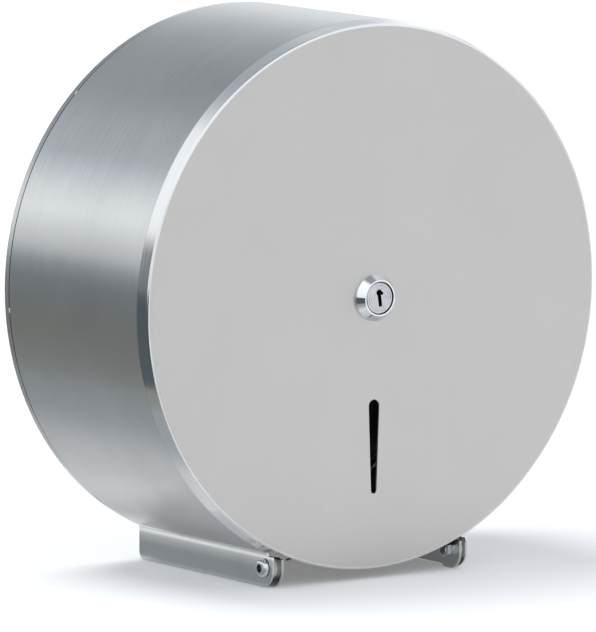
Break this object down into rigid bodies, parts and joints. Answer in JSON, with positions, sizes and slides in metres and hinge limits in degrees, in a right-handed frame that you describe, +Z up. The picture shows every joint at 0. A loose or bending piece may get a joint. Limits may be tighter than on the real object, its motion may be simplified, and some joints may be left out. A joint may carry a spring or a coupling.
{
  "type": "jumbo toilet roll dispenser",
  "caption": "Round stainless steel wall dispenser for one jumbo toilet roll, with a keyed cover that tips forward and down on two side ears to show the roll spindle.",
  "frame": {"origin": "centre of the back plate's wall face, which is also the centre of the four wall screw holes", "axes": "+Y points into the wall, +Z is up, +X is to the right of someone who faces the front panel"},
  "size_m": [0.28, 0.1335, 0.284],
  "materials": {
    "brushed_sheet": "fine brushed grain, satin",
    "inner_sheet": "mill finish, duller than the case",
    "polished_chrome": "mirror bright chrome plating",
    "zinc_plated": "bright zinc plating",
    "white_nylon": "moulded, matt"
  },
  "bodies": {
    "wall_unit": {"back_plate": "inner_sheet", "rim_bumpers": "white_nylon", "spindle_base": "inner_sheet", "spindle_rivets": "zinc_plated", "spindle_tube": "inner_sheet", "strike_plate": "zinc_plated", "hinge_arm_left": "inner_sheet", "hinge_arm_right": "inner_sheet", "arm_rivets": "zinc_plated", "hinge_bushes": "zinc_plated", "hinge_spacers": "white_nylon", "hinge_screws": "polished_chrome", "hinge_washers": "zinc_plated", "hinge_nuts": "zinc_plated"},
    "cover": {"drum_wall": "brushed_sheet", "front_panel": "brushed_sheet", "lock_housing": "polished_chrome", "lock_washer": "zinc_plated", "lock_nut": "zinc_plated"},
    "lock_core": {"lock_plug": "polished_chrome", "lock_cam": "zinc_plated", "cam_washer": "zinc_plated", "cam_screw": "zinc_plated"}
  },
  "joints": [
    {"name": "cover_hinge", "type": "hinge", "parent": "wall_unit", "child": "cover", "pos_m": [0, -0.1185, -0.13399], "axis": [1, 0, 0], "range_deg": [0, 165]},
    {"name": "lock_turn", "type": "hinge", "parent": "cover", "child": "lock_core", "pos_m": [0, -0.1285, 0], "axis": [0, -1, 0], "range_deg": [0, 90]}
  ]
}
